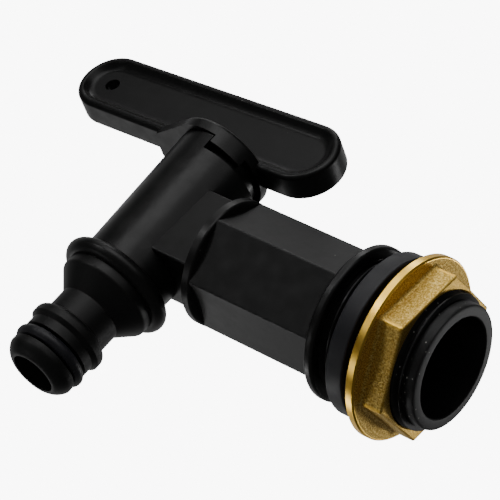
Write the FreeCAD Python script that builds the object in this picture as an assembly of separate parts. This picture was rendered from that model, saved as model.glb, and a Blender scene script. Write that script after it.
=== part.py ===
import FreeCAD, Part
import math
import os

# Water butt tap: a quarter-turn lever tap with a threaded tail, a rubber washer and a brass back nut.
# Frame: origin at the centre of the flange's sealing face, on the inlet axis. +X runs out along the
# threaded tail, +Z runs up the barrel to the lever. Millimetres and degrees.

# Threaded tail and flange
THREAD_DIAMETER = 26.44
TAIL_LENGTH = 20.4
TAIL_WALL = 3.35
TAIL_BORE_DEPTH = 36.0
LEAD_IN_LENGTH = 2.3
LEAD_IN_STEP = 1.02
LEAD_IN_CHAMFER = 0.6
FLANGE_STEP = 2.18
FLANGE_THICKNESS = 2.0
FLANGE_EDGE_ROUND = 0.6

# Six-sided inlet arm with its round collar and square neck
BARREL_TO_FLANGE = 48.9
ARM_WALL = 1.28
ARM_EDGE_ROUND = 0.4
COLLAR_STEP = 1.75
COLLAR_START = 15.7
COLLAR_WIDTH = 1.75
COLLAR_SLOPE_ANGLE = 78.0
COLLAR_EDGE_ROUND = 0.5
NECK_WIDTH = 15.2
NECK_HEIGHT = 17.2
NECK_EDGE_ROUND = 0.5
WATERWAY_DIAMETER = 12.0

# Barrel
BARREL_TOP_Z = 18.6
BARREL_TOP_WALL = 2.6
BARREL_TOP_ROUND = 0.4
BARREL_BASE_Z = -13.4
BARREL_BASE_WALL = 1.5
BARREL_BORE_DIAMETER = 16.0
STOP_WINDOW_DEPTH = 3.6

# Bead, shoulder and hose nose below the barrel
BEAD_STEP = 2.45
BEAD_HEIGHT = 3.35
SHOULDER_STEP = 0.5
SHOULDER_HEIGHT = 2.0
SHOULDER_EDGE_ROUND = 0.9
SHOULDER_CONE_HEIGHT = 4.1
OUTLET_DIAMETER = 9.2
OUTLET_THROAT_HEIGHT = 5.2
NOSE_NECK_WALL = 2.0
NOSE_NECK_HEIGHT = 4.95
CATCH_RING_STEP = 1.5
CATCH_RING_RISE = 1.25
CATCH_RING_HEIGHT = 1.1
CATCH_RING_FALL = 0.85
NOSE_LAND_STEP = 0.7
NOSE_LAND_HEIGHT = 1.95
TIP_RING_HEIGHT = 1.05
TIP_ROUND_HEIGHT = 2.2
TIP_ROUND_FULLNESS = 0.6
TIP_WALL = 0.6
NOSE_O_RING_SECTION = 2.4
NOSE_O_RING_PROUD = 0.55
NOSE_O_RING_SIDE_GAP = 0.45

# Lever plate, turned a little from the inlet axis where it meets its stop
LEVER_REST_ANGLE = -5.0
LEVER_THICKNESS = 6.3
LEVER_HEIGHT = 15.55
LEVER_TIP_HEIGHT = 14.8
LEVER_RISE = 0.9
LEVER_LONG_REACH = 46.0
LEVER_SHORT_REACH = 22.3
LEVER_EDGE_ROUND = 0.9
PANEL_RIM_WIDTH = 1.3
PANEL_SLOPE_WIDTH = 1.5
PANEL_DEPTH = 1.3
PANEL_FLOOR_ROUND = 2.2
PANEL_MOUTH_ROUND = 0.5
HANG_HOLE_DIAMETER = 3.2

# Hub under the lever, with a tapered root along the long arm and a stop lug
HUB_OVERHANG = 0.4
HUB_SHIFT = 2.0
HUB_THICKNESS = 2.8
HUB_EDGE_ROUND = 1.0
HUB_CLEARANCE = 0.2
ROOT_REACH = 18.0
ROOT_END_ROUND = 1.5
LUG_START_ANGLE = -85.0
LUG_SPAN = 44.0
LUG_HEIGHT = 1.8
LEVER_TURN = 90.0
STOP_CLEARANCE = 1.0

# Hollow valve plug under the hub
PLUG_CLEARANCE = 0.08
PLUG_SEAT_GAP = 0.3
PORT_DIAMETER = 10.0
PLUG_BORE_DIAMETER = 10.0
PLUG_BORE_OVER_PORT = 1.5
PLUG_O_RING_SECTION = 1.5
PLUG_O_RING_CLEARANCE = 0.05
PLUG_O_RING_TO_PORT = 3.3
PLUG_O_RING_TO_SEAT = 2.7
GROOVE_SIDE_CLEARANCE = 0.06
SNAP_BEAD_TO_WINDOW = 2.6
SNAP_BEAD_HEIGHT = 1.4
SNAP_BEAD_PROUD = 0.35

# Rubber washer and brass nut on the tail
TAIL_CLEARANCE = 0.08
WASHER_STEP = 2.88
WASHER_THICKNESS = 3.8
WASHER_GAP = 3.7
WASHER_EDGE_ROUND = 0.4
NUT_GAP = 2.1
NUT_HEX_WALL = 0.88
NUT_HEX_HEIGHT = 4.8
NUT_HEX_ANGLE = 21.5
NUT_EDGE_ROUND = 0.45
NUT_ROOT_ROUND = 0.8
NUT_FLANGE_STEP = 3.85
NUT_FLANGE_THICKNESS = 1.9
NUT_FLANGE_CHAMFER = 0.3
NUT_COUNTERSINK_DEPTH = 0.3

X_AXIS = FreeCAD.Vector(1, 0, 0)
Z_AXIS = FreeCAD.Vector(0, 0, 1)
ORIGIN = FreeCAD.Vector(0, 0, 0)
BARREL_FOOT = FreeCAD.Vector(-BARREL_TO_FLANGE, 0, 0)

TAIL_RADIUS = THREAD_DIAMETER / 2
TAIL_BORE_DIAMETER = THREAD_DIAMETER - 2 * TAIL_WALL
TAIL_HOLE_RADIUS = TAIL_RADIUS + TAIL_CLEARANCE
ARM_ACROSS_FLATS = TAIL_BORE_DIAMETER + 2 * ARM_WALL
COLLAR_RADIUS = ARM_ACROSS_FLATS / 2 + COLLAR_STEP
BARREL_TOP_RADIUS = BARREL_BORE_DIAMETER / 2 + BARREL_TOP_WALL
BARREL_BASE_RADIUS = BARREL_BORE_DIAMETER / 2 + BARREL_BASE_WALL
SHOULDER_RADIUS = BARREL_BASE_RADIUS + SHOULDER_STEP
NOSE_NECK_RADIUS = OUTLET_DIAMETER / 2 + NOSE_NECK_WALL
NOSE_LAND_RADIUS = NOSE_NECK_RADIUS + NOSE_LAND_STEP
BEAD_BOTTOM_Z = BARREL_BASE_Z - BEAD_HEIGHT
NECK_TOP_Z = BEAD_BOTTOM_Z - SHOULDER_HEIGHT - SHOULDER_CONE_HEIGHT
CATCH_RING_TOP_Z = NECK_TOP_Z - NOSE_NECK_HEIGHT
LAND_TOP_Z = CATCH_RING_TOP_Z - CATCH_RING_RISE - CATCH_RING_HEIGHT - CATCH_RING_FALL
GROOVE_TOP_Z = LAND_TOP_Z - NOSE_LAND_HEIGHT
NOSE_GROOVE_WIDTH = NOSE_O_RING_SECTION + 2 * NOSE_O_RING_SIDE_GAP
TIP_RING_TOP_Z = GROOVE_TOP_Z - NOSE_GROOVE_WIDTH
SPOUT_TIP_Z = TIP_RING_TOP_Z - TIP_RING_HEIGHT - TIP_ROUND_HEIGHT
NOSE_O_RING_Z = GROOVE_TOP_Z - NOSE_GROOVE_WIDTH / 2
NOSE_O_RING_RADIUS = NOSE_LAND_RADIUS + NOSE_O_RING_PROUD - NOSE_O_RING_SECTION / 2
HUB_BOTTOM_Z = BARREL_TOP_Z + HUB_CLEARANCE
HUB_RADIUS = BARREL_TOP_RADIUS + HUB_OVERHANG
LEVER_BOTTOM_Z = HUB_BOTTOM_Z + LEVER_RISE
TIP_X = LEVER_TIP_HEIGHT / 2 - LEVER_LONG_REACH
PLUG_RADIUS = BARREL_BORE_DIAMETER / 2 - PLUG_CLEARANCE
PLUG_O_RING_RADIUS = BARREL_BORE_DIAMETER / 2 - PLUG_O_RING_CLEARANCE - PLUG_O_RING_SECTION / 2
PLUG_O_RING_Z = PORT_DIAMETER / 2 + PLUG_O_RING_TO_PORT
BARREL_SEAT_Z = -PLUG_O_RING_Z - PLUG_O_RING_TO_SEAT
SNAP_BEAD_Z = BARREL_TOP_Z - STOP_WINDOW_DEPTH - SNAP_BEAD_TO_WINDOW
WASHER_FRONT = WASHER_GAP + WASHER_THICKNESS
NUT_START = WASHER_FRONT + NUT_GAP
NUT_ACROSS_FLATS = THREAD_DIAMETER + 2 * NUT_HEX_WALL


def in_xz_plane(point):
    return FreeCAD.Vector(point[0], 0, point[1])


def profile_face(points, place=in_xz_plane):
    """A face bounded by straight runs and arcs. A pair of points in the list is an arc's middle and end."""
    edges = []
    start = points[0]
    for step in points[1:]:
        if isinstance(step[0], tuple):
            middle, end = step
            edges.append(Part.Arc(place(start), place(middle), place(end)).toShape())
        else:
            end = step
            edges.append(Part.makeLine(place(start), place(end)))
        start = end
    if start != points[0]:
        edges.append(Part.makeLine(place(start), place(points[0])))
    return Part.Face(Part.Wire(edges))


def turned_about_z(points, angle=360.0):
    """Turns a profile of (radius, height) points about the Z axis."""
    return profile_face(points).revolve(ORIGIN, Z_AXIS, angle)


def turned_about_x(points):
    """Turns a profile of (place along X, radius) points about the X axis."""
    return profile_face(points).revolve(ORIGIN, X_AXIS, 360.0)


def rod(diameter, start, direction, length):
    return Part.makeCylinder(diameter / 2, length, start, direction)


def torus_about_z(ring_radius, section, height):
    return Part.makeTorus(ring_radius, section / 2, FreeCAD.Vector(0, 0, height), Z_AXIS)


def ring_sector(inner_radius, outer_radius, bottom, top, start_angle, span):
    """A block that follows part of a circle about the Z axis."""
    corners = [(inner_radius, bottom), (outer_radius, bottom), (outer_radius, top), (inner_radius, top)]
    block = turned_about_z(corners, span)
    block.rotate(ORIGIN, Z_AXIS, start_angle)
    return block


def long_edges(bar):
    """The straight edges of a bar that run along X."""
    return [e for e in bar.Edges if abs(e.Vertexes[0].X - e.Vertexes[-1].X) > 1e-6]


def hexagon_bar(across_flats, start, length, first_corner_angle, edge_round):
    """A six-sided bar along X with rounded edges. The corner angle is measured from +Y towards +Z."""
    corner_radius = across_flats / 2 / math.cos(math.radians(30))
    corners = []
    for side in range(6):
        angle = math.radians(first_corner_angle + 60 * side)
        y, z = corner_radius * math.cos(angle), corner_radius * math.sin(angle)
        corners.append(FreeCAD.Vector(start, y, z))
    bar = Part.Face(Part.makePolygon(corners + corners[:1])).extrude(X_AXIS * length)
    return bar.makeFillet(edge_round, long_edges(bar))


def rounded_corner(corner, before, after, radius):
    """The start, and the middle and end, of a quarter arc that rounds a right-angled profile corner."""
    towards = [((p[0] > corner[0]) - (p[0] < corner[0]), (p[1] > corner[1]) - (p[1] < corner[1]))
               for p in (before, after)]
    start = tuple(c + radius * t for c, t in zip(corner, towards[0]))
    end = tuple(c + radius * t for c, t in zip(corner, towards[1]))
    inset = radius * (1 - math.sqrt(0.5))
    middle = tuple(c + inset * (a + b) for c, a, b in zip(corner, towards[0], towards[1]))
    return start, (middle, end)


def snap_ring(surface_radius, inner_radius, allowance):
    """The snap bead's ring, or with an allowance the groove that it runs in."""
    half = SNAP_BEAD_HEIGHT / 2 + allowance
    crest = surface_radius + SNAP_BEAD_PROUD
    return turned_about_z([
        (inner_radius, SNAP_BEAD_Z - half),
        (surface_radius, SNAP_BEAD_Z - half),
        (crest, SNAP_BEAD_Z - half + SNAP_BEAD_PROUD),
        (crest, SNAP_BEAD_Z + half - SNAP_BEAD_PROUD),
        (surface_radius, SNAP_BEAD_Z + half),
        (inner_radius, SNAP_BEAD_Z + half),
    ])


def barrel_and_nose():
    """The upright barrel with its bead, shoulder and ringed hose nose, about the Z axis."""
    bead_middle_z = BARREL_BASE_Z - BEAD_HEIGHT / 2
    ring_z = CATCH_RING_TOP_Z - CATCH_RING_RISE
    ring_radius = NOSE_NECK_RADIUS + CATCH_RING_STEP
    groove_radius = NOSE_O_RING_RADIUS - NOSE_O_RING_SECTION / 2 - GROOVE_SIDE_CLEARANCE
    round_start_z = TIP_RING_TOP_Z - TIP_RING_HEIGHT
    tip_radius = OUTLET_DIAMETER / 2 + TIP_WALL
    bulge = math.sqrt(0.5)
    shoulder_foot_z = BEAD_BOTTOM_Z - SHOULDER_HEIGHT
    rim_start, rim_arc = rounded_corner(
        (BARREL_TOP_RADIUS, BARREL_TOP_Z), (0, BARREL_TOP_Z), (BARREL_TOP_RADIUS, 0), BARREL_TOP_ROUND)
    shape = turned_about_z([
        (0, BARREL_TOP_Z),
        rim_start,
        rim_arc,
        (BARREL_BASE_RADIUS, BARREL_BASE_Z),
        ((BARREL_BASE_RADIUS + BEAD_STEP, bead_middle_z), (SHOULDER_RADIUS, BEAD_BOTTOM_Z)),
        (SHOULDER_RADIUS, shoulder_foot_z),
        (NOSE_NECK_RADIUS, NECK_TOP_Z),
        (NOSE_NECK_RADIUS, CATCH_RING_TOP_Z),
        ((NOSE_NECK_RADIUS + bulge * CATCH_RING_STEP, CATCH_RING_TOP_Z - (1 - bulge) * CATCH_RING_RISE),
         (ring_radius, ring_z)),
        (ring_radius, ring_z - CATCH_RING_HEIGHT),
        (NOSE_LAND_RADIUS, LAND_TOP_Z),
        (NOSE_LAND_RADIUS, GROOVE_TOP_Z),
        (groove_radius, GROOVE_TOP_Z),
        (groove_radius, TIP_RING_TOP_Z),
        (NOSE_LAND_RADIUS, TIP_RING_TOP_Z),
        (NOSE_LAND_RADIUS, round_start_z),
        ((tip_radius + TIP_ROUND_FULLNESS * (NOSE_LAND_RADIUS - tip_radius),
          round_start_z - TIP_ROUND_FULLNESS * TIP_ROUND_HEIGHT),
         (tip_radius, SPOUT_TIP_Z)),
        (0, SPOUT_TIP_Z),
    ])
    shoulder_foot = [e for e in shape.Edges if all(abs(v.Z - shoulder_foot_z) < 1e-6 for v in e.Vertexes)]
    return shape.makeFillet(SHOULDER_EDGE_ROUND, shoulder_foot)


def barrel_waterway():
    """What is cut out of the barrel: the plug's bore and snap groove, the outlet and the stop window."""
    bore_radius = BARREL_BORE_DIAMETER / 2
    outlet_radius = OUTLET_DIAMETER / 2
    bore = turned_about_z([
        (0, BARREL_TOP_Z),
        (bore_radius, BARREL_TOP_Z),
        (bore_radius, BARREL_SEAT_Z),
        (PLUG_BORE_DIAMETER / 2, BARREL_SEAT_Z),
        (outlet_radius, BARREL_SEAT_Z - OUTLET_THROAT_HEIGHT),
        (outlet_radius, SPOUT_TIP_Z),
        (0, SPOUT_TIP_Z),
    ])
    groove = snap_ring(bore_radius, bore_radius - SNAP_BEAD_PROUD, PLUG_CLEARANCE)
    window = ring_sector(
        bore_radius - PLUG_CLEARANCE, 2 * BARREL_TOP_RADIUS, BARREL_TOP_Z - STOP_WINDOW_DEPTH, BARREL_TOP_Z,
        LUG_START_ANGLE - STOP_CLEARANCE, LUG_SPAN + LEVER_TURN + 2 * STOP_CLEARANCE)
    return bore.fuse([groove, window])


def neck_block():
    """The square block that joins the barrel to the arm's collar."""
    corner = FreeCAD.Vector(0, -NECK_WIDTH / 2, -NECK_HEIGHT / 2)
    block = Part.makeBox(COLLAR_START, NECK_WIDTH, NECK_HEIGHT, corner)
    return block.makeFillet(NECK_EDGE_ROUND, long_edges(block))


def arm_collar():
    """The arm's round end, which slopes in to the six flats."""
    start = COLLAR_START - BARREL_TO_FLANGE
    slope_end_radius = WATERWAY_DIAMETER / 2
    slope_start = start + COLLAR_WIDTH
    slope_length = (COLLAR_RADIUS - slope_end_radius) / math.tan(math.radians(COLLAR_SLOPE_ANGLE))
    collar = turned_about_x([
        (start, 0),
        (start, COLLAR_RADIUS),
        (slope_start, COLLAR_RADIUS),
        (slope_start + slope_length, slope_end_radius),
        (slope_start + slope_length, 0),
    ])
    rim = [e for e in collar.Edges if all(abs(v.X - slope_start) < 1e-6 for v in e.Vertexes)]
    return collar.makeFillet(COLLAR_EDGE_ROUND, rim)


def flange_and_tail():
    """The sealing flange and the plain tail that carries the thread, with its smooth lead-in."""
    flange_radius = TAIL_RADIUS + FLANGE_STEP
    lead_in_radius = TAIL_RADIUS - LEAD_IN_STEP
    back_start, back_arc = rounded_corner(
        (-FLANGE_THICKNESS, flange_radius), (-FLANGE_THICKNESS, 0), (0, flange_radius), FLANGE_EDGE_ROUND)
    front_start, front_arc = rounded_corner(
        (0, flange_radius), (-FLANGE_THICKNESS, flange_radius), (0, 0), FLANGE_EDGE_ROUND)
    return turned_about_x([
        (-FLANGE_THICKNESS, 0),
        back_start,
        back_arc,
        front_start,
        front_arc,
        (0, TAIL_RADIUS),
        (TAIL_LENGTH - LEAD_IN_LENGTH, TAIL_RADIUS),
        (TAIL_LENGTH - LEAD_IN_LENGTH, lead_in_radius),
        (TAIL_LENGTH - LEAD_IN_CHAMFER, lead_in_radius),
        (TAIL_LENGTH, lead_in_radius - LEAD_IN_CHAMFER),
        (TAIL_LENGTH, 0),
    ])


def tap_body():
    upright_part = barrel_and_nose().fuse(neck_block())
    upright_part.translate(BARREL_FOOT)
    arm_start = COLLAR_START + COLLAR_WIDTH - BARREL_TO_FLANGE
    arm = hexagon_bar(ARM_ACROSS_FLATS, arm_start, -arm_start - FLANGE_THICKNESS, 0, ARM_EDGE_ROUND)
    body = upright_part.fuse([arm_collar(), arm, flange_and_tail()])

    barrel_cut = barrel_waterway()
    barrel_cut.translate(BARREL_FOOT)
    waterway = rod(WATERWAY_DIAMETER, BARREL_FOOT, X_AXIS, BARREL_TO_FLANGE)
    tail_bore = rod(
        TAIL_BORE_DIAMETER, FreeCAD.Vector(TAIL_LENGTH - TAIL_BORE_DEPTH, 0, 0), X_AXIS, TAIL_BORE_DEPTH)
    return body.cut([barrel_cut, waterway, tail_bore]).removeSplitter()


def lever_outline(inset):
    """The plate's outline, set in: round ends, a level top and an underside that rises to the tip."""
    tip_radius = LEVER_TIP_HEIGHT / 2 - inset
    end_radius = LEVER_HEIGHT / 2 - inset
    end_x = LEVER_SHORT_REACH - LEVER_HEIGHT / 2
    top = LEVER_BOTTOM_Z + LEVER_HEIGHT - inset
    fall = 2 * math.atan2(end_radius - tip_radius, end_x - TIP_X)
    tip_bottom = (TIP_X - tip_radius * math.sin(fall), top - tip_radius * (1 + math.cos(fall)))
    end_bottom = (end_x - end_radius * math.sin(fall), top - end_radius * (1 + math.cos(fall)))
    return profile_face([
        tip_bottom,
        end_bottom,
        ((end_x + end_radius, top - end_radius), (end_x, top)),
        (TIP_X, top),
        ((TIP_X - tip_radius, top - tip_radius), tip_bottom),
    ])


def across_lever(face, start, depth):
    """Pushes a face in the XZ plane across the lever's thickness."""
    solid = face.extrude(FreeCAD.Vector(0, depth, 0))
    solid.translate(FreeCAD.Vector(0, start, 0))
    return solid


def edges_at_y(solid, y):
    """The edges of a solid that lie in one plane across the lever."""
    return [e for e in solid.Edges if all(abs(v.Y - y) < 1e-6 for v in e.Vertexes)]


def mouth_edges(plate, y):
    """The edges round the mouth of the panel sunk in one face of the plate."""
    rim = next(f for f in plate.Faces if all(abs(v.Y - y) < 1e-6 for v in f.Vertexes))
    return [e for wire in rim.Wires if not wire.isSame(rim.OuterWire) for e in wire.Edges]


def sunk_panel(face_y, floor_y):
    """What is cut out of one face of the plate: a panel with sloping sides that round into its floor."""
    outlines = []
    for inset, y in ((PANEL_RIM_WIDTH, face_y), (PANEL_RIM_WIDTH + PANEL_SLOPE_WIDTH, floor_y)):
        outline = lever_outline(inset)
        outline.translate(FreeCAD.Vector(0, y, 0))
        outlines.append(outline.OuterWire)
    panel = Part.makeLoft(outlines, True, True)
    return panel.makeFillet(PANEL_FLOOR_ROUND, edges_at_y(panel, floor_y))


def lever_plate():
    """The lever's plate, with a panel sunk in each face inside a rim, and a hole to hang it by."""
    half = LEVER_THICKNESS / 2
    plate = across_lever(lever_outline(0), -half, LEVER_THICKNESS)
    plate = plate.makeFillet(LEVER_EDGE_ROUND, edges_at_y(plate, -half) + edges_at_y(plate, half))
    plate = plate.cut([sunk_panel(side * half, side * (half - PANEL_DEPTH)) for side in (-1, 1)])
    plate = plate.makeFillet(PANEL_MOUTH_ROUND, mouth_edges(plate, -half) + mouth_edges(plate, half))
    tip_middle_z = LEVER_BOTTOM_Z + LEVER_HEIGHT - LEVER_TIP_HEIGHT / 2
    hang_hole = rod(
        HANG_HOLE_DIAMETER, FreeCAD.Vector(TIP_X, -half, tip_middle_z),
        FreeCAD.Vector(0, 1, 0), LEVER_THICKNESS)
    return plate.cut(hang_hole)


def hub_prism(bottom, top):
    """The hub's plan as a prism: a round end, drawn out to the plate's width along the long arm."""
    half = LEVER_THICKNESS / 2
    root = HUB_SHIFT - ROOT_REACH
    tangent_angle = math.atan2(half, root) - math.acos(HUB_RADIUS / math.hypot(root, half))
    tangent_x = HUB_RADIUS * math.cos(tangent_angle)
    tangent_y = HUB_RADIUS * math.sin(tangent_angle)
    outline = profile_face([
        (root, -half),
        (tangent_x, -tangent_y),
        ((HUB_RADIUS, 0), (tangent_x, tangent_y)),
        (root, half),
    ], lambda point: FreeCAD.Vector(point[0] - HUB_SHIFT, point[1], bottom))
    return outline.extrude(Z_AXIS * (top - bottom))


def lever_hub():
    top = HUB_BOTTOM_Z + HUB_THICKNESS
    hub = hub_prism(HUB_BOTTOM_Z, top)
    root_edges = [e for e in hub.Edges if all(abs(v.X + ROOT_REACH) < 1e-6 for v in e.Vertexes)
                  and abs(e.Vertexes[0].Z - e.Vertexes[-1].Z) > 1e-6]
    hub = hub.makeFillet(ROOT_END_ROUND, root_edges)
    top_edges = [e for e in hub.Edges if all(abs(v.Z - top) < 1e-6 for v in e.Vertexes)]
    return hub.makeFillet(HUB_EDGE_ROUND, top_edges)


def stop_lug():
    """The lug under the hub that meets the ends of the window in the barrel's rim."""
    bottom = HUB_BOTTOM_Z - LUG_HEIGHT
    sector = ring_sector(
        PLUG_RADIUS - PLUG_CLEARANCE, 2 * HUB_RADIUS, bottom, HUB_BOTTOM_Z,
        LUG_START_ANGLE - LEVER_REST_ANGLE, LUG_SPAN)
    return sector.common(hub_prism(bottom, HUB_BOTTOM_Z))


def o_ring_groove(height):
    half = PLUG_O_RING_SECTION / 2 + GROOVE_SIDE_CLEARANCE
    floor = PLUG_O_RING_RADIUS - half
    return turned_about_z([
        (floor, height - half), (BARREL_BORE_DIAMETER / 2, height - half),
        (BARREL_BORE_DIAMETER / 2, height + half), (floor, height + half)])


def valve_plug():
    """The hollow plug: water comes in through its side port and leaves through its open foot."""
    foot = BARREL_SEAT_Z + PLUG_SEAT_GAP
    plug = rod(2 * PLUG_RADIUS, FreeCAD.Vector(0, 0, foot), Z_AXIS, HUB_BOTTOM_Z - foot)
    plug = plug.fuse(snap_ring(PLUG_RADIUS, PLUG_BORE_DIAMETER / 2, 0))
    bore_top = PORT_DIAMETER / 2 + PLUG_BORE_OVER_PORT
    bore = rod(PLUG_BORE_DIAMETER, FreeCAD.Vector(0, 0, foot), Z_AXIS, bore_top - foot)
    port = rod(PORT_DIAMETER, ORIGIN, X_AXIS, BARREL_BORE_DIAMETER)
    return plug.cut([bore, port, o_ring_groove(PLUG_O_RING_Z), o_ring_groove(-PLUG_O_RING_Z)])


def set_on_barrel(shape):
    """Puts a piece of the lever, made with its long arm along -X, in its rest place on the barrel."""
    shape.rotate(ORIGIN, Z_AXIS, LEVER_REST_ANGLE)
    shape.translate(BARREL_FOOT)
    return shape


def lever_handle():
    lever = lever_plate().fuse([lever_hub(), stop_lug(), valve_plug()])
    return set_on_barrel(lever.removeSplitter())


def plug_o_ring(height):
    return set_on_barrel(torus_about_z(PLUG_O_RING_RADIUS, PLUG_O_RING_SECTION, height))


def nose_o_ring():
    ring = torus_about_z(NOSE_O_RING_RADIUS, NOSE_O_RING_SECTION, NOSE_O_RING_Z)
    ring.translate(BARREL_FOOT)
    return ring


def sealing_washer():
    """The flat rubber washer, with its outer edges rounded."""
    outer = TAIL_RADIUS + WASHER_STEP
    back_start, back_arc = rounded_corner(
        (WASHER_GAP, outer), (WASHER_GAP, 0), (WASHER_FRONT, outer), WASHER_EDGE_ROUND)
    front_start, front_arc = rounded_corner(
        (WASHER_FRONT, outer), (WASHER_GAP, outer), (WASHER_FRONT, 0), WASHER_EDGE_ROUND)
    return turned_about_x([
        (WASHER_GAP, TAIL_HOLE_RADIUS), back_start, back_arc, front_start, front_arc,
        (WASHER_FRONT, TAIL_HOLE_RADIUS)])


def edges_at_x(solid, x):
    """The edges of a solid that lie in one plane across the inlet axis."""
    return [e for e in solid.Edges if all(abs(v.X - x) < 1e-6 for v in e.Vertexes)]


def back_nut():
    """The brass nut: a cast hexagon that rounds into a turned flange, and a countersunk hole."""
    flange_end = NUT_START + NUT_FLANGE_THICKNESS
    end = flange_end + NUT_HEX_HEIGHT
    flange_radius = NUT_ACROSS_FLATS / 2 + NUT_FLANGE_STEP
    hexagon = hexagon_bar(NUT_ACROSS_FLATS, NUT_START, end - NUT_START, NUT_HEX_ANGLE, NUT_EDGE_ROUND)
    hexagon = hexagon.makeFillet(NUT_EDGE_ROUND, edges_at_x(hexagon, end))
    flange = turned_about_x([
        (NUT_START, 0),
        (NUT_START, flange_radius - NUT_FLANGE_CHAMFER),
        (NUT_START + NUT_FLANGE_CHAMFER, flange_radius),
        (flange_end - NUT_FLANGE_CHAMFER, flange_radius),
        (flange_end, flange_radius - NUT_FLANGE_CHAMFER),
        (flange_end, 0),
    ])
    nut = flange.fuse(hexagon).removeSplitter()
    root = [e for e in edges_at_x(nut, flange_end) if e.BoundBox.DiagonalLength < NUT_ACROSS_FLATS]
    nut = nut.makeFillet(NUT_ROOT_ROUND, root)
    hole = turned_about_x([
        (NUT_START, 0),
        (NUT_START, TAIL_HOLE_RADIUS),
        (end - NUT_COUNTERSINK_DEPTH, TAIL_HOLE_RADIUS),
        (end, TAIL_HOLE_RADIUS + NUT_COUNTERSINK_DEPTH),
        (end, 0),
    ])
    return nut.cut(hole)


def main():
    os.makedirs("parts", exist_ok=True)
    pieces = {
        "tap_body": tap_body(),
        "lever_handle": lever_handle(),
        "plug_upper_o_ring": plug_o_ring(PLUG_O_RING_Z),
        "plug_lower_o_ring": plug_o_ring(-PLUG_O_RING_Z),
        "nose_o_ring": nose_o_ring(),
        "sealing_washer": sealing_washer(),
        "back_nut": back_nut(),
    }
    for name, shape in pieces.items():
        shape.exportStep(f"parts/{name}.step")
        box = shape.BoundBox
        print(f"{name}: valid {shape.isValid()}, solids {len(shape.Solids)}, volume {shape.Volume:.1f} mm3, "
              f"x {box.XMin:.2f} to {box.XMax:.2f}, y {box.YMin:.2f} to {box.YMax:.2f}, "
              f"z {box.ZMin:.2f} to {box.ZMax:.2f}")


main()
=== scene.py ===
import math

import bmesh
import bpy
from mathutils import Matrix, Vector


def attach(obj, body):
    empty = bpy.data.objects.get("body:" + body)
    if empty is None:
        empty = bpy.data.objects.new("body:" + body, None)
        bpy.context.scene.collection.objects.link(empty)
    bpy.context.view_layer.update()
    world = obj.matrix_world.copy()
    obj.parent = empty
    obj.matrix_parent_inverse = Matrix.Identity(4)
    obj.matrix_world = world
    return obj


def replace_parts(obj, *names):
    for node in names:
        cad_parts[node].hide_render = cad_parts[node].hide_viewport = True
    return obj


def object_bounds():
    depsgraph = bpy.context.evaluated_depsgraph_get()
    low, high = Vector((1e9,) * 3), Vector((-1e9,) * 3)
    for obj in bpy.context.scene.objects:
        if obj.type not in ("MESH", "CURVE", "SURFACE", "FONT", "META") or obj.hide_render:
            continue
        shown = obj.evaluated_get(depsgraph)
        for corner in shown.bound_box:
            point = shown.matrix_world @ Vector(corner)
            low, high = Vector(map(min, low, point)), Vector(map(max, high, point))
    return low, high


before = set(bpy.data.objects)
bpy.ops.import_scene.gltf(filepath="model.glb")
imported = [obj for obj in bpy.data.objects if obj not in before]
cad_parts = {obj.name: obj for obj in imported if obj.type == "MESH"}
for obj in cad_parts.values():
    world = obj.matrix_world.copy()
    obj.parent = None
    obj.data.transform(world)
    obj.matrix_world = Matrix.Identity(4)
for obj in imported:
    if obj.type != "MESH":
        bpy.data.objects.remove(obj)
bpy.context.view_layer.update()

MM = 0.001

# Tail of the tap, as in the part's source: a 3/4 inch parallel pipe thread, in metres
THREAD_RADIUS = 13.22 * MM
THREAD_PITCH = 1.814 * MM
THREAD_DEPTH = 1.0 * MM
THREAD_END = 18.1 * MM
TAIL_END = 20.4 * MM
LEAD_IN_RADIUS = 12.2 * MM
LEAD_IN_CHAMFER = 0.6 * MM
TAIL_BORE_RADIUS = 9.87 * MM
TAIL_CUT = 0.1 * MM
THREAD_TURNS = 12
STEPS_PER_TURN = 96

# Back nut, as in the part's source, for the places where its brass is cast, turned or worn
NUT_RIM_RADIUS = 17.95 * MM
NUT_CORNER_RADIUS = 16.2 * MM
NUT_FLANGE_FRONT = 11.5 * MM
NUT_END = 16.3 * MM

# Skins: how near two corners are joined, and the bend past which an edge stays crisp
MERGE_DISTANCE = 0.002 * MM
CREASE_ANGLE = math.radians(28)

# Camera at the photograph's viewpoint: its place, and its own right, up and backward directions
CAMERA_PLACE = Vector((0.2070, -0.3185, -0.1818))
CAMERA_RIGHT = Vector((0.7633, 0.2132, 0.6098))
CAMERA_UP = Vector((-0.3519, -0.6544, 0.6693))
CAMERA_BACK = Vector((0.5418, -0.7255, -0.4245))
CAMERA_LENS = 165.55
CAMERA_SENSOR = 36.0

# Studio, in metres: the floor lies below the camera, which looks up at the tap, and a wash of light lies on it
FLOOR_HALF_WIDTH = 3.0
FLOOR_HEIGHT = -0.9
FLOOR_WASH = 1.0
WASH_ABOVE_FLOOR = 0.4
BACKDROP_WHITE = 9.0


def srgb(code):
    """A hex sRGB colour as linear RGBA."""
    channels = [int(code[i:i + 2], 16) / 255 for i in (1, 3, 5)]
    return (*[c / 12.92 if c <= 0.04045 else ((c + 0.055) / 1.055) ** 2.4 for c in channels], 1.0)


def put(tree, kind, inputs=None, **settings):
    """Adds a node, sets its properties, and sets or links its inputs."""
    node = tree.nodes.new(kind)
    for name, value in settings.items():
        setattr(node, name, value)
    for name, value in (inputs or {}).items():
        if isinstance(value, bpy.types.NodeSocket):
            tree.links.new(value, node.inputs[name])
        else:
            node.inputs[name].default_value = value
    return node


def new_material(name):
    material = bpy.data.materials.new(name)
    material.use_nodes = True
    material.node_tree.nodes.clear()
    return material, material.node_tree


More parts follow.
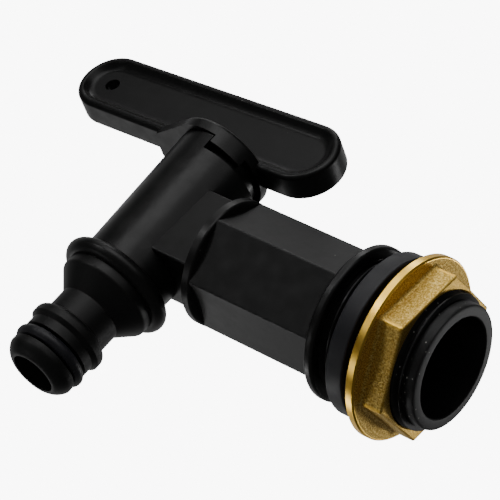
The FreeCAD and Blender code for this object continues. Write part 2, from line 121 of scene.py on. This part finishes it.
def moulded_polypropylene():
    """Black polypropylene from a fine-eroded mould: deep black, a soft half-matt sheen and faint flow marks,
    duller along the nose and the tail, with dust caught on the tail."""
    material, tree = new_material("black_moulded_polypropylene")
    place = put(tree, "ShaderNodeTexCoord").outputs["Object"]
    spot = put(tree, "ShaderNodeSeparateXYZ", {"Vector": place})
    tail = put(tree, "ShaderNodeMapRange", {
        "Value": spot.outputs["X"], "From Min": 6 * MM, "From Max": 12 * MM})
    nose = put(tree, "ShaderNodeMapRange", {
        "Value": spot.outputs["Z"], "From Min": -15 * MM, "From Max": -20 * MM})
    dull = put(tree, "ShaderNodeMath", {
        0: tail.outputs[0], 1: nose.outputs[0]}, operation="MAXIMUM")

    flow = put(tree, "ShaderNodeTexNoise", {"Vector": place, "Scale": 1 / (9 * MM), "Detail": 3.0})
    grain = put(tree, "ShaderNodeTexNoise", {"Vector": place, "Scale": 1 / (0.45 * MM), "Detail": 2.0})
    rubbed = put(tree, "ShaderNodeTexNoise", {"Vector": place, "Scale": 1 / (3 * MM), "Detail": 4.0})
    tone = put(tree, "ShaderNodeMix", {
        0: flow.outputs["Fac"], 6: srgb("#080808"), 7: srgb("#0e0e0e")}, data_type="RGBA")

    # Dust: stray specks all over, and more of them on the outside of the tail
    specks = put(tree, "ShaderNodeTexVoronoi", {"Vector": place, "Scale": 1 / (6 * MM)})
    speck = put(tree, "ShaderNodeMapRange", {
        "Value": specks.outputs["Distance"], "From Min": 0.028, "From Max": 0.018})
    across = put(tree, "ShaderNodeVectorMath", {0: place, 1: (0.0, 1.0, 1.0)}, operation="MULTIPLY")
    radius = put(tree, "ShaderNodeVectorMath", {0: across.outputs[0]}, operation="LENGTH")
    outside = put(tree, "ShaderNodeMapRange", {
        "Value": radius.outputs["Value"], "From Min": 10.6 * MM, "From Max": 11.6 * MM,
        "To Max": tail.outputs[0]})
    dust = put(tree, "ShaderNodeTexVoronoi", {"Vector": place, "Scale": 1 / (1.3 * MM)})
    tail_dust = put(tree, "ShaderNodeMapRange", {
        "Value": dust.outputs["Distance"], "From Min": 0.14, "From Max": 0.07, "To Max": outside.outputs[0]})
    dirt = put(tree, "ShaderNodeMath", {
        0: speck.outputs[0], 1: tail_dust.outputs[0]}, operation="MAXIMUM")
    dusted = put(tree, "ShaderNodeMix", {
        0: dirt.outputs[0], 6: tone.outputs[2], 7: srgb("#6a6a66")}, data_type="RGBA")

    sheen = put(tree, "ShaderNodeMapRange", {
        "Value": rubbed.outputs["Fac"], "From Min": 0.3, "From Max": 0.7, "To Min": 0.28, "To Max": 0.38})
    roughness = put(tree, "ShaderNodeMix", {
        0: dull.outputs[0], 2: sheen.outputs[0], 3: 0.46}, data_type="FLOAT")
    bump = put(tree, "ShaderNodeBump", {
        "Strength": 0.25, "Distance": 0.02 * MM, "Height": grain.outputs["Fac"]})
    shader = put(tree, "ShaderNodeBsdfPrincipled", {
        "Base Color": dusted.outputs[2], "Roughness": roughness.outputs[0], "IOR": 1.49,
        "Specular IOR Level": 0.2, "Normal": bump.outputs[0]})
    put(tree, "ShaderNodeOutputMaterial", {"Surface": shader.outputs[0]})
    return material


def nitrile_rubber():
    """Black nitrile rubber, pressed and cut: a cool near-black with a dull skin and fine bloom."""
    material, tree = new_material("black_nitrile_rubber")
    place = put(tree, "ShaderNodeTexCoord").outputs["Object"]
    bloom = put(tree, "ShaderNodeTexNoise", {"Vector": place, "Scale": 1 / (4 * MM), "Detail": 5.0})
    skin = put(tree, "ShaderNodeTexNoise", {"Vector": place, "Scale": 1 / (0.6 * MM), "Detail": 3.0})
    tone = put(tree, "ShaderNodeMix", {
        0: bloom.outputs["Fac"], 6: srgb("#0a0a0d"), 7: srgb("#14141a")}, data_type="RGBA")
    roughness = put(tree, "ShaderNodeMapRange", {
        "Value": bloom.outputs["Fac"], "From Min": 0.3, "From Max": 0.7, "To Min": 0.42, "To Max": 0.56})
    bump = put(tree, "ShaderNodeBump", {
        "Strength": 0.3, "Distance": 0.03 * MM, "Height": skin.outputs["Fac"]})
    shader = put(tree, "ShaderNodeBsdfPrincipled", {
        "Base Color": tone.outputs[2], "Roughness": roughness.outputs[0], "IOR": 1.52,
        "Specular IOR Level": 0.3, "Normal": bump.outputs[0]})
    put(tree, "ShaderNodeOutputMaterial", {"Surface": shader.outputs[0]})
    return material


def cast_brass():
    """Yellow brass: a sand-cast, grainy hexagon and flange, worn bright along the hexagon's edges, with a rim
    and end faces turned bright on a lathe."""
    material, tree = new_material("cast_and_turned_brass")
    place = put(tree, "ShaderNodeTexCoord").outputs["Object"]
    across = put(tree, "ShaderNodeVectorMath", {0: place, 1: (0.0, 1.0, 1.0)}, operation="MULTIPLY")
    radius = put(tree, "ShaderNodeVectorMath", {0: across.outputs[0]}, operation="LENGTH").outputs["Value"]
    along = put(tree, "ShaderNodeSeparateXYZ", {0: place}).outputs["X"]
    outer_end = put(tree, "ShaderNodeMapRange", {
        "Value": along, "From Min": NUT_END - 0.45 * MM, "From Max": NUT_END - 0.2 * MM, "To Max": 0.3})
    rim = put(tree, "ShaderNodeMapRange", {
        "Value": radius, "From Min": NUT_RIM_RADIUS - 0.5 * MM, "From Max": NUT_RIM_RADIUS - 0.35 * MM})
    turned = put(tree, "ShaderNodeMath", {
        0: outer_end.outputs[0], 1: rim.outputs[0]}, operation="MAXIMUM").outputs[0]
    corners = put(tree, "ShaderNodeMapRange", {
        "Value": radius, "From Min": NUT_CORNER_RADIUS - 0.3 * MM, "From Max": NUT_CORNER_RADIUS - 0.1 * MM,
        "To Max": 0.8})
    past_rim = put(tree, "ShaderNodeMapRange", {
        "Value": along, "From Min": NUT_FLANGE_FRONT + 0.7 * MM, "From Max": NUT_FLANGE_FRONT + 1.3 * MM})
    worn = put(tree, "ShaderNodeMath", {
        0: corners.outputs[0], 1: past_rim.outputs[0]}, operation="MULTIPLY")
    bright = put(tree, "ShaderNodeMath", {
        0: turned, 1: worn.outputs[0]}, operation="MAXIMUM").outputs[0]

    sand = put(tree, "ShaderNodeTexNoise", {"Vector": place, "Scale": 1 / (0.32 * MM), "Detail": 3.0})
    grain = put(tree, "ShaderNodeMapRange", {
        "Value": sand.outputs["Fac"], "From Min": 0.4, "From Max": 0.72}).outputs[0]
    patches = put(tree, "ShaderNodeTexNoise", {"Vector": place, "Scale": 1 / (3.5 * MM), "Detail": 3.0})
    cutter_lines = put(tree, "ShaderNodeMath", {
        0: radius, 1: 2 * math.pi / (0.25 * MM)}, operation="MULTIPLY")
    cutter_wave = put(tree, "ShaderNodeMath", {0: cutter_lines.outputs[0]}, operation="SINE")

    cast_tone = put(tree, "ShaderNodeMix", {
        0: grain, 6: srgb("#c29c46"), 7: srgb("#ffe288")}, data_type="RGBA")
    turned_tone = put(tree, "ShaderNodeMix", {
        0: patches.outputs["Fac"], 6: srgb("#ffc440"), 7: srgb("#ffd868")}, data_type="RGBA")
    tone = put(tree, "ShaderNodeMix", {
        0: bright, 6: cast_tone.outputs[2], 7: turned_tone.outputs[2]}, data_type="RGBA")
    cast_roughness = put(tree, "ShaderNodeMapRange", {
        "Value": grain, "To Min": 0.66, "To Max": 0.46})
    roughness = put(tree, "ShaderNodeMix", {
        0: bright, 2: cast_roughness.outputs[0], 3: 0.3}, data_type="FLOAT")
    cast_bump = put(tree, "ShaderNodeBump", {
        "Strength": 0.8, "Distance": 0.12 * MM, "Height": sand.outputs["Fac"]})
    turned_bump = put(tree, "ShaderNodeBump", {
        "Strength": 0.15, "Distance": 0.01 * MM, "Height": cutter_wave.outputs[0]})
    normal = put(tree, "ShaderNodeMix", {
        0: turned, 4: cast_bump.outputs[0], 5: turned_bump.outputs[0]}, data_type="VECTOR")
    shader = put(tree, "ShaderNodeBsdfPrincipled", {
        "Base Color": tone.outputs[2], "Metallic": 1.0, "Roughness": roughness.outputs[0],
        "Normal": normal.outputs[1]})
    put(tree, "ShaderNodeOutputMaterial", {"Surface": shader.outputs[0]})
    return material


def studio_floor_paint():
    """Pale matt paint on the studio floor, with a faint roller mottle."""
    material, tree = new_material("pale_floor_paint")
    place = put(tree, "ShaderNodeTexCoord").outputs["Object"]
    mottle = put(tree, "ShaderNodeTexNoise", {"Vector": place, "Scale": 1 / (60 * MM), "Detail": 3.0})
    tone = put(tree, "ShaderNodeMix", {
        0: mottle.outputs["Fac"], 6: srgb("#e4e4e2"), 7: srgb("#ececea")}, data_type="RGBA")
    shader = put(tree, "ShaderNodeBsdfPrincipled", {"Base Color": tone.outputs[2], "Roughness": 0.9})
    put(tree, "ShaderNodeOutputMaterial", {"Surface": shader.outputs[0]})
    return material


def finish_piece(name, mesh_maker, material, body):
    """Turns a bmesh into a piece with crisp creases, even shading over its flats, a finish and a body."""
    bmesh.ops.recalc_face_normals(mesh_maker, faces=mesh_maker.faces)
    for face in mesh_maker.faces:
        face.smooth = True
    for edge in mesh_maker.edges:
        edge.smooth = len(edge.link_faces) == 2 and edge.calc_face_angle(0.0) < CREASE_ANGLE
    mesh = bpy.data.meshes.new(name)
    mesh_maker.to_mesh(mesh)
    mesh_maker.free()
    mesh.materials.append(material)
    piece = bpy.data.objects.new(name, mesh)
    bpy.context.scene.collection.objects.link(piece)
    even = piece.modifiers.new("even_flats", "WEIGHTED_NORMAL")
    even.keep_sharp = True
    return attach(piece, body)


def merged_copy(node):
    """The CAD node's triangles, joined into one skin."""
    maker = bmesh.new()
    maker.from_mesh(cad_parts[node].data)
    bmesh.ops.remove_doubles(maker, verts=maker.verts, dist=MERGE_DISTANCE)
    return maker


def skinned_node(node, piece_name, material, body):
    piece = finish_piece(piece_name, merged_copy(node), material, body)
    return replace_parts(piece, node)


def moulded_body(material):
    """The tap's body without its plain tail, which the threaded one stands for."""
    maker = merged_copy("tap_body")
    everything = maker.verts[:] + maker.edges[:] + maker.faces[:]
    bmesh.ops.bisect_plane(
        maker, geom=everything, plane_co=(TAIL_CUT, 0, 0), plane_no=(1, 0, 0), clear_outer=True)
    piece = finish_piece("moulded_body", maker, material, "body")
    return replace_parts(piece, "tap_body")


def spun_profile(maker, points, steps=128):
    """Spins a run of (x, radius) points once about the inlet axis."""
    verts = [maker.verts.new((x, 0, radius)) for x, radius in points]
    edges = [maker.edges.new(pair) for pair in zip(verts, verts[1:])]
    bmesh.ops.spin(
        maker, geom=verts + edges, cent=(0, 0, 0), axis=(1, 0, 0), angle=2 * math.pi, steps=steps,
        use_merge=True)


def thread_skin(maker):
    """The helical thread: one rounded tooth, wound along the tail and trimmed square at both ends."""
    crest = THREAD_RADIUS
    root = THREAD_RADIUS - THREAD_DEPTH
    rounding = 0.1 * THREAD_DEPTH
    rising = [(0.0, root), (0.06, root), (0.13, root + rounding), (0.37, crest - rounding), (0.44, crest)]
    falling = [(1 - share, radius) for share, radius in reversed(rising)]
    verts = [maker.verts.new(((share - 1) * THREAD_PITCH, 0, radius)) for share, radius in rising + falling]
    edges = [maker.edges.new(pair) for pair in zip(verts, verts[1:])]
    bmesh.ops.spin(
        maker, geom=verts + edges, cent=(0, 0, 0), axis=(1, 0, 0),
        dvec=(THREAD_PITCH / STEPS_PER_TURN, 0, 0), angle=2 * math.pi * THREAD_TURNS,
        steps=STEPS_PER_TURN * THREAD_TURNS)
    bmesh.ops.remove_doubles(maker, verts=maker.verts, dist=0.005 * MM)
    for x, normal in ((0.0, (-1, 0, 0)), (THREAD_END, (1, 0, 0))):
        everything = maker.verts[:] + maker.edges[:] + maker.faces[:]
        bmesh.ops.bisect_plane(maker, geom=everything, plane_co=(x, 0, 0), plane_no=normal, clear_outer=True)
    near_end = THREAD_END - 0.01 * MM
    open_end = [e for e in maker.edges if e.is_boundary and all(v.co.x > near_end for v in e.verts)]
    inner = bmesh.ops.extrude_edge_only(maker, edges=open_end)["geom"]
    for vert in (v for v in inner if isinstance(v, bmesh.types.BMVert)):
        vert.co.yz = vert.co.yz.normalized() * (LEAD_IN_RADIUS - 0.4 * MM)


def threaded_tail(material):
    """The tail: its thread, the plain lead-in with its rounded end, and the bore."""
    maker = bmesh.new()
    thread_skin(maker)
    spun_profile(maker, [
        (THREAD_END - 0.3 * MM, LEAD_IN_RADIUS),
        (TAIL_END - LEAD_IN_CHAMFER, LEAD_IN_RADIUS),
        (TAIL_END - 0.35 * LEAD_IN_CHAMFER, LEAD_IN_RADIUS - 0.2 * LEAD_IN_CHAMFER),
        (TAIL_END, LEAD_IN_RADIUS - LEAD_IN_CHAMFER),
        (TAIL_END, TAIL_BORE_RADIUS + 0.2 * MM),
        (TAIL_END - 0.2 * MM, TAIL_BORE_RADIUS),
        (TAIL_CUT, TAIL_BORE_RADIUS),
    ])
    return finish_piece("threaded_tail", maker, material, "body")


def soft_light(name, aim, clock, lift, spread, brightness, distance=0.7, beam=180):
    """A square softbox that faces the tap. Its place is given as the camera sees it: clock is the angle from
    the top of the picture, clockwise, lift the angle towards the camera, and spread half the softbox's angle.
    A narrow beam stands for a softbox with a grid over it."""
    clock = math.radians(clock)
    lift = math.radians(lift)
    sideways = CAMERA_UP * math.cos(clock) + CAMERA_RIGHT * math.sin(clock)
    direction = sideways * math.cos(lift) + CAMERA_BACK * math.sin(lift)
    data = bpy.data.lights.new(name, "AREA")
    data.size = 2 * distance * math.tan(math.radians(spread))
    data.energy = brightness * math.pi * data.size ** 2
    data.spread = math.radians(beam)
    light = bpy.data.objects.new(name, data)
    light.location = aim + direction * distance
    light.rotation_euler = direction.to_track_quat("Z", "Y").to_euler()
    bpy.context.scene.collection.objects.link(light)


def studio():
    """Camera, floor and softboxes in a room that is dim before the tap and paler behind it."""
    scene = bpy.context.scene
    low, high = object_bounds()
    middle = (low + high) / 2

    lens = bpy.data.cameras.new("photo_camera")
    lens.sensor_width = CAMERA_SENSOR
    lens.lens = CAMERA_LENS
    camera = bpy.data.objects.new("photo_camera", lens)
    turn = Matrix((CAMERA_RIGHT, CAMERA_UP, CAMERA_BACK)).transposed()
    camera.matrix_world = Matrix.Translation(CAMERA_PLACE) @ turn.to_4x4()
    scene.collection.objects.link(camera)
    scene.camera = camera

    maker = bmesh.new()
    bmesh.ops.create_grid(maker, x_segments=8, y_segments=8, size=FLOOR_HALF_WIDTH)
    bmesh.ops.translate(maker, verts=maker.verts, vec=(0, 0, FLOOR_HEIGHT))
    mesh = bpy.data.meshes.new("studio_floor")
    maker.to_mesh(mesh)
    maker.free()
    mesh.materials.append(studio_floor_paint())
    floor = bpy.data.objects.new("studio_floor", mesh)
    scene.collection.objects.link(floor)

    # An even light on the floor alone, and no floor in the tap's gloss, so that its underside stays dark
    floor.visible_glossy = False
    wash = bpy.data.lights.new("floor_wash", "AREA")
    wash.size = 2 * FLOOR_HALF_WIDTH
    wash.energy = FLOOR_WASH * math.pi * wash.size ** 2
    floor_light = bpy.data.objects.new("floor_wash", wash)
    floor_light.location = (0, 0, FLOOR_HEIGHT + WASH_ABOVE_FLOOR)
    floor_light.visible_camera = False
    scene.collection.objects.link(floor_light)

    # What the lights face: the lever's long end, the arm, the nut, and the room just past the nut
    lever = Vector((-86, 0, 25)) * MM
    arm = Vector((-15, 0, 0)) * MM
    nut = Vector((13, 0, 0)) * MM
    past_nut = Vector((35, 0, 0)) * MM
    soft_light("key_softbox", middle, clock=-5, lift=26, spread=17, brightness=3.5)
    soft_light("top_softbox", middle, clock=-8, lift=-8, spread=14, brightness=1.1)
    soft_light("right_softbox", middle, clock=32, lift=42, spread=18, brightness=1.2)
    soft_light("low_softbox", lever, clock=-138, lift=-40, spread=7, brightness=0.9, distance=0.4)
    near = 0.35
    soft_light(
        "arm_softbox", arm, clock=-62, lift=24, spread=12,
        brightness=0.03, distance=near, beam=18)
    soft_light(
        "nut_top_softbox", past_nut, clock=6, lift=-24, spread=14,
        brightness=0.085, distance=near, beam=17)
    soft_light(
        "nut_left_softbox", nut, clock=-40, lift=17, spread=12,
        brightness=0.13, distance=near, beam=15)
    soft_light(
        "nut_side_softbox", nut, clock=-106, lift=11, spread=12,
        brightness=0.045, distance=near, beam=18)
    soft_light(
        "nut_low_softbox", past_nut, clock=-132, lift=-22, spread=9,
        brightness=0.08, distance=near, beam=16)
    soft_light(
        "nut_right_softbox", nut, clock=110, lift=-26, spread=12,
        brightness=0.12, distance=near, beam=16)

    world = bpy.data.worlds.new("studio_sky")
    scene.world = world
    world.use_nodes = True
    tree = world.node_tree
    tree.nodes.clear()
    direction = put(tree, "ShaderNodeTexCoord").outputs["Generated"]
    behind = put(tree, "ShaderNodeVectorMath", {0: direction, 1: -CAMERA_BACK}, operation="DOT_PRODUCT")
    level = put(tree, "ShaderNodeMapRange", {
        "Value": behind.outputs["Value"], "From Min": 0.42, "From Max": 0.8, "To Min": 0.05, "To Max": 0.58})
    lit = put(tree, "ShaderNodeBackground", {"Color": srgb("#ffffff"), "Strength": level.outputs[0]})
    seen = put(tree, "ShaderNodeBackground", {"Color": srgb("#ffffff"), "Strength": BACKDROP_WHITE})
    path = put(tree, "ShaderNodeLightPath")
    sky = put(tree, "ShaderNodeMixShader", {
        0: path.outputs["Is Camera Ray"], 1: lit.outputs[0], 2: seen.outputs[0]})
    put(tree, "ShaderNodeOutputWorld", {"Surface": sky.outputs[0]})


plastic = moulded_polypropylene()
rubber = nitrile_rubber()
brass = cast_brass()

moulded_body(plastic)
threaded_tail(plastic)
skinned_node("lever_handle", "moulded_lever", plastic, "lever")
skinned_node("plug_upper_o_ring", "upper_plug_seal", rubber, "lever")
skinned_node("plug_lower_o_ring", "lower_plug_seal", rubber, "lever")
skinned_node("nose_o_ring", "nose_seal", rubber, "body")
skinned_node("sealing_washer", "rubber_washer", rubber, "washer")
skinned_node("back_nut", "brass_back_nut", brass, "nut")
studio()
